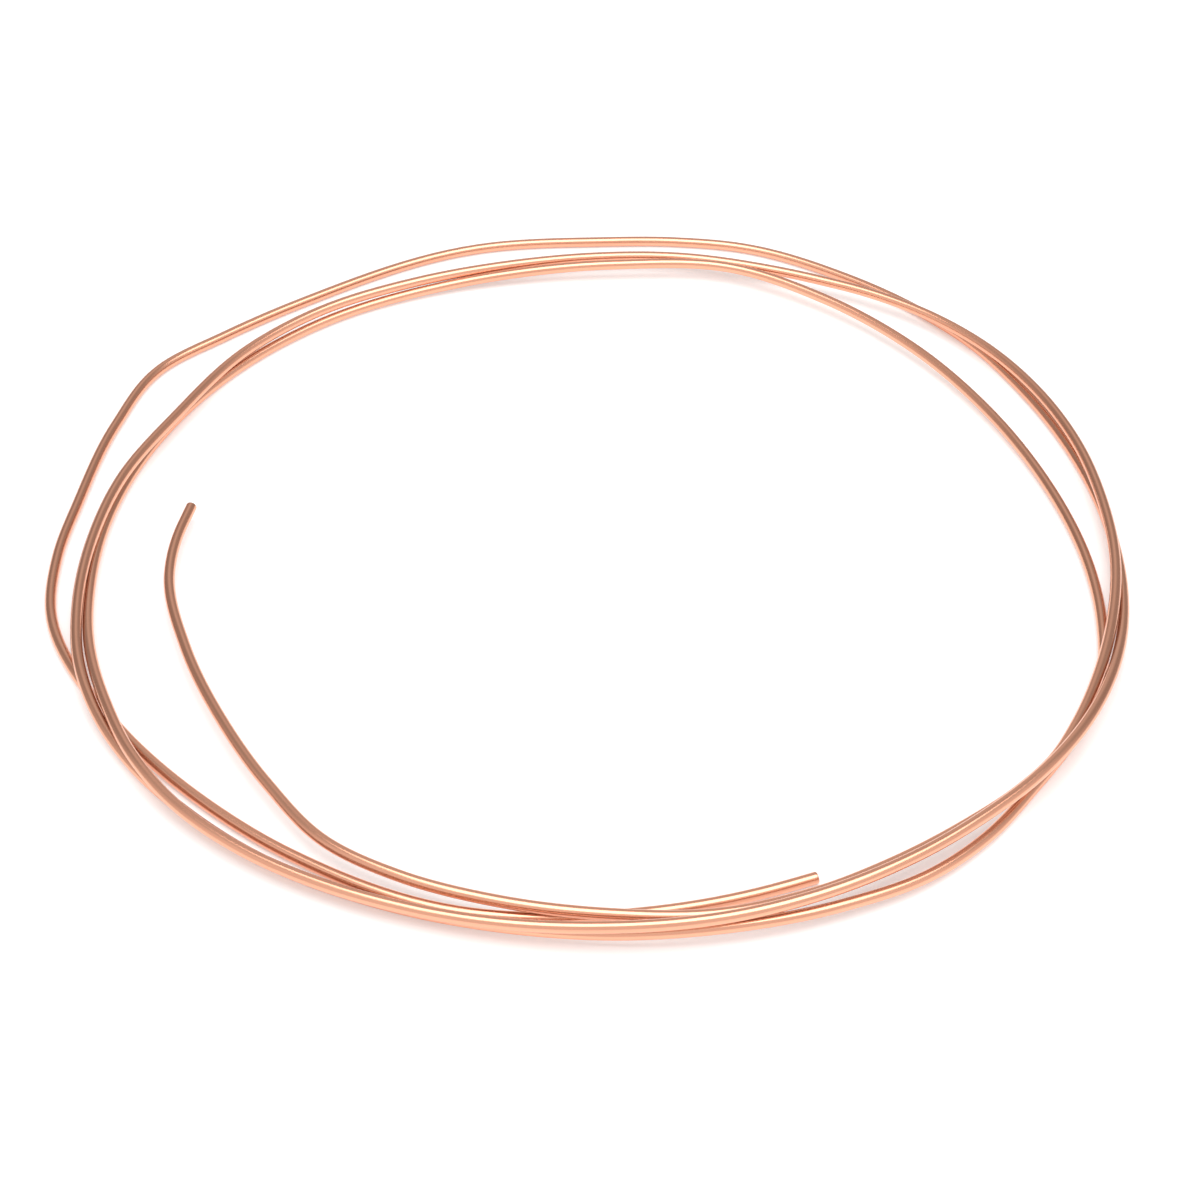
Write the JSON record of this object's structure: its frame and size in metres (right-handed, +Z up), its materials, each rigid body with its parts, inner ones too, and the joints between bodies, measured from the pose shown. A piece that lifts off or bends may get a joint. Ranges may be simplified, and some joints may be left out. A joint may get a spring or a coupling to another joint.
{
  "type": "copper tube coil",
  "caption": "Loose coil of thin soft copper tube, cut square at both ends, for bending into small fluid or gas lines.",
  "frame": {"origin": "centre of the coil's outline, on the floor it lies on", "axes": "+Z up through the eye of the coil, +Y towards the back of the picture, +X to the picture's right"},
  "size_m": [0.3052, 0.3084, 0.0101],
  "materials": {
    "copper": "bright soft-drawn copper, lightly handled"
  },
  "bodies": {
    "root": {"copper_tube": "copper"}
  },
  "joints": []
}
